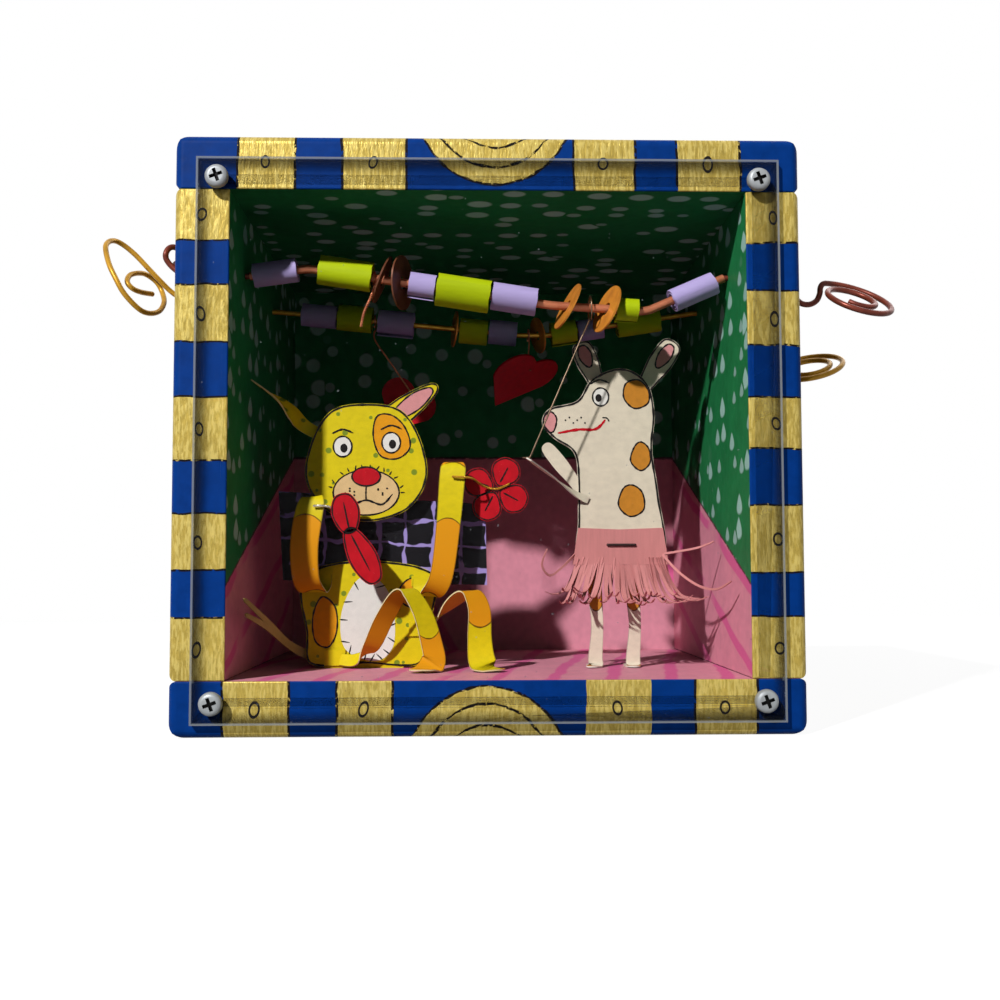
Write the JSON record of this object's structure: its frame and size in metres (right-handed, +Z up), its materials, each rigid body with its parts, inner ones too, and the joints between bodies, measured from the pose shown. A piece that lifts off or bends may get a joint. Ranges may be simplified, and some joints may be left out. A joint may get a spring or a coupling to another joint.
{
  "type": "shadow box wall art",
  "caption": "Painted wooden shadow box with a clear screwed front, cut-sheet figures inside and two bent wire garlands that turn in the side boards by spiral ends.",
  "frame": {"origin": "middle of the underside of the bottom board", "axes": "+Z up, -Y towards the viewer at the clear front, +X to the viewer's right"},
  "size_m": [0.3025, 0.1696, 0.206],
  "materials": {
    "painted_wood": "blue and gold acrylic paint, brushed",
    "painted_panel": "green and pink acrylic paint, brushed",
    "steel": "bright",
    "gilt_steel": "satin",
    "clear_acrylic": "clear gloss",
    "copper": "dull copper",
    "brass": "satin",
    "lavender_paper": "matt",
    "lime_paper": "matt",
    "red_sheet": "painted, satin",
    "yellow_sheet": "painted, satin",
    "black_sheet": "painted, satin",
    "cream_sheet": "painted, satin",
    "pink_sheet": "painted, satin",
    "dark_wire": "dark",
    "grey_wire": "dull"
  },
  "bodies": {
    "box": {"top_board": "painted_wood", "bottom_board": "painted_wood", "left_board": "painted_wood", "right_board": "painted_wood", "back_panel": "painted_panel", "brads": "steel", "sawtooth_hanger": "gilt_steel", "hanger_nails": "steel", "cover_plate": "clear_acrylic", "cover_screws": "steel", "seated_body": "yellow_sheet", "seated_head": "yellow_sheet", "seated_neck_tab": "yellow_sheet", "seated_ears": "yellow_sheet", "check_panel": "black_sheet", "seated_left_arm": "yellow_sheet", "seated_right_arm": "yellow_sheet", "seated_left_leg": "yellow_sheet", "seated_right_leg": "yellow_sheet", "seated_tail": "yellow_sheet", "red_bow": "red_sheet", "red_flower": "red_sheet", "hand_wires": "brass", "standing_body": "cream_sheet", "standing_ears": "cream_sheet", "skirt": "pink_sheet", "skirt_stitch": "dark_wire", "standing_legs": "cream_sheet", "standing_right_arm": "cream_sheet", "standing_left_arm": "cream_sheet", "floor_tacks": "steel"},
    "copper_garland": {"copper_rod": "copper", "copper_pigtail": "copper", "copper_bead_1": "lavender_paper", "copper_bead_2": "lime_paper", "copper_bead_3": "lavender_paper", "copper_bead_4": "lime_paper", "copper_bead_5": "lavender_paper", "copper_bead_6": "lime_paper", "copper_bead_7": "lavender_paper"},
    "brass_garland": {"brass_rod": "brass", "brass_bead_1": "lavender_paper", "brass_bead_2": "lime_paper", "brass_bead_3": "lavender_paper", "brass_bead_4": "lime_paper", "brass_bead_5": "lavender_paper", "brass_bead_6": "lime_paper", "brass_bead_7": "lavender_paper", "brass_bead_8": "lime_paper"},
    "copper_disc_1_loose": {"copper_disc_1": "copper"},
    "copper_disc_2_loose": {"copper_disc_2": "copper"},
    "copper_disc_3_loose": {"copper_disc_3": "copper"},
    "copper_disc_4_loose": {"copper_disc_4": "copper"},
    "brass_disc_1_loose": {"brass_disc_1": "copper"},
    "brass_disc_2_loose": {"brass_disc_2": "copper"},
    "left_heart_hung": {"left_heart": "red_sheet", "left_heart_wire": "copper"},
    "right_heart_hung": {"right_heart": "red_sheet", "right_heart_wire": "copper"},
    "pull_wire_link": {"pull_wire": "grey_wire"}
  },
  "joints": [
    {"name": "copper_turn", "type": "hinge", "parent": "box", "child": "copper_garland", "pos_m": [0, -0.052, 0.164], "axis": [1, 0, 0], "range_deg": [-30, 30]},
    {"name": "brass_turn", "type": "hinge", "parent": "box", "child": "brass_garland", "pos_m": [0, 0.008, 0.164], "axis": [1, 0, 0], "range_deg": [-30, 30]},
    {"name": "copper_disc_1_spin", "type": "hinge", "parent": "copper_garland", "child": "copper_disc_1_loose", "pos_m": [-0.0389, -0.052, 0.16293], "axis": [0.9272, 0, -0.3746], "continuous": true},
    {"name": "copper_disc_2_spin", "type": "hinge", "parent": "copper_garland", "child": "copper_disc_2_loose", "pos_m": [-0.0316, -0.052, 0.16184], "axis": [0.9454, -0.3218, -0.0523], "continuous": true},
    {"name": "copper_disc_3_spin", "type": "hinge", "parent": "copper_garland", "child": "copper_disc_3_loose", "pos_m": [0.0295, -0.052, 0.15321], "axis": [0.8778, 0.2254, -0.4226], "continuous": true},
    {"name": "copper_disc_4_spin", "type": "hinge", "parent": "copper_garland", "child": "copper_disc_4_loose", "pos_m": [0.044, -0.052, 0.1523], "axis": [0.8823, 0.3334, -0.3322], "continuous": true},
    {"name": "brass_disc_1_spin", "type": "hinge", "parent": "brass_garland", "child": "brass_disc_1_loose", "pos_m": [-0.013, 0.008, 0.15699], "axis": [0.9811, 0.173, -0.0872], "continuous": true},
    {"name": "brass_disc_2_spin", "type": "hinge", "parent": "brass_garland", "child": "brass_disc_2_loose", "pos_m": [0.022, 0.008, 0.1544], "axis": [0.9303, 0.3023, 0.2079], "continuous": true},
    {"name": "left_heart_swing", "type": "hinge", "parent": "brass_garland", "child": "left_heart_hung", "pos_m": [-0.04625, 0.008, 0.16012], "axis": [1, 0, 0], "range_deg": [-20, 20]},
    {"name": "right_heart_swing", "type": "hinge", "parent": "brass_garland", "child": "right_heart_hung", "pos_m": [0.01796, 0.008, 0.1544], "axis": [1, 0, 0], "range_deg": [-20, 20]},
    {"name": "pull_wire_swing", "type": "hinge", "parent": "box", "child": "pull_wire_link", "pos_m": [0.014, -0.051, 0.0972], "axis": [1, 0, 0], "range_deg": [-6.4, 6.4]}
  ],
  "couplings": [
    {"joint": "pull_wire_swing", "follows": "copper_turn", "ratio": -0.2037}
  ]
}
